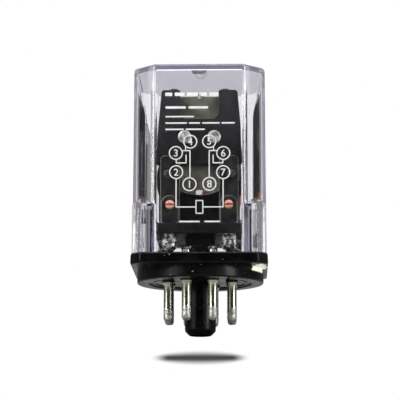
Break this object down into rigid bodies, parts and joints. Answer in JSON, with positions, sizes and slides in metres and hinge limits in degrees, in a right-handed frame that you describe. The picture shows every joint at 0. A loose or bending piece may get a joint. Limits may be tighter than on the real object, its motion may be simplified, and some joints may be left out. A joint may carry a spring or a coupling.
{
  "type": "plug-in relay",
  "caption": "Octal plug-in relay: clear clipped cover over a hinged armature, coil and two change-over contacts, on a black round-pin base with a keyed spigot.",
  "frame": {"origin": "centre of the tip of the keyed spigot, the lowest point of the plug", "axes": "+Z from the plug to the top of the cover, -Y to the front, the side that the spigot's key and the printed diagram face, +X to the right seen from the front"},
  "size_m": [0.0344, 0.0344, 0.0673],
  "materials": {
    "black_phenolic": "glossy moulded thermoset",
    "black_nylon": "satin moulded plastic",
    "clear_polycarbonate": "clear moulded polycarbonate, faint lavender at the edges",
    "tinned_brass": "tin or nickel plated brass, dull solder at the tips",
    "zinc_plated_steel": "zinc plated and passivated, faintly olive",
    "soft_iron": "turned soft iron",
    "copper": "bright copper",
    "silver_alloy": "silver alloy, lightly tarnished",
    "phosphor_bronze": "rolled phosphor bronze strip",
    "brass_sheet": "punched brass sheet",
    "blackened_steel": "black oxide strip with bright cut edges",
    "enamelled_wire": "enamelled copper wire",
    "black_tape": "black cloth tape",
    "spring_steel": "drawn spring wire",
    "red_wire_sleeve": "red insulating sleeve",
    "white_wire_sleeve": "white insulating sleeve"
  },
  "bodies": {
    "base_and_magnet": {"base": "black_phenolic", "bobbin": "black_nylon", "coil_lead_left": "red_wire_sleeve", "coil_lead_right": "red_wire_sleeve", "coil_tape": "black_tape", "coil_winding": "enamelled_wire", "common_lead_left": "white_wire_sleeve", "common_lead_right": "white_wire_sleeve", "common_lug_left": "tinned_brass", "common_lug_right": "tinned_brass", "core": "soft_iron", "frame_block": "black_nylon", "lug_screw_left": "copper", "lug_screw_right": "copper", "nc_contact_left": "silver_alloy", "nc_contact_right": "silver_alloy", "nc_lead_left": "white_wire_sleeve", "nc_lead_right": "white_wire_sleeve", "nc_lug_left": "tinned_brass", "nc_lug_right": "tinned_brass", "nc_terminal_left": "blackened_steel", "nc_terminal_right": "blackened_steel", "no_contact_left": "silver_alloy", "no_contact_right": "silver_alloy", "no_lead_left": "white_wire_sleeve", "no_lead_right": "white_wire_sleeve", "no_terminal_left": "brass_sheet", "no_terminal_right": "brass_sheet", "pigtail_left": "copper", "pigtail_right": "copper", "pin_1": "tinned_brass", "pin_2": "tinned_brass", "pin_3": "tinned_brass", "pin_4": "tinned_brass", "pin_5": "tinned_brass", "pin_6": "tinned_brass", "pin_7": "tinned_brass", "pin_8": "tinned_brass", "return_spring": "spring_steel", "yoke": "zinc_plated_steel", "yoke_screw_left": "spring_steel", "yoke_screw_right": "spring_steel"},
    "armature_group": {"armature": "zinc_plated_steel", "contact_carrier": "black_nylon", "carrier_rivet_left": "silver_alloy", "carrier_rivet_right": "silver_alloy", "moving_spring_left": "phosphor_bronze", "moving_spring_right": "phosphor_bronze", "moving_contact_left": "silver_alloy", "moving_contact_right": "silver_alloy"},
    "cover_body": {"cover": "clear_polycarbonate"}
  },
  "joints": [
    {"name": "armature_pivot", "type": "hinge", "parent": "base_and_magnet", "child": "armature_group", "pos_m": [0, -0.006, 0.05855], "axis": [1, 0, 0], "range_deg": [0, 3.2]},
    {"name": "cover_lift", "type": "slide", "parent": "base_and_magnet", "child": "cover_body", "axis": [0, 0, 1], "range_m": [0, 0.05]}
  ]
}
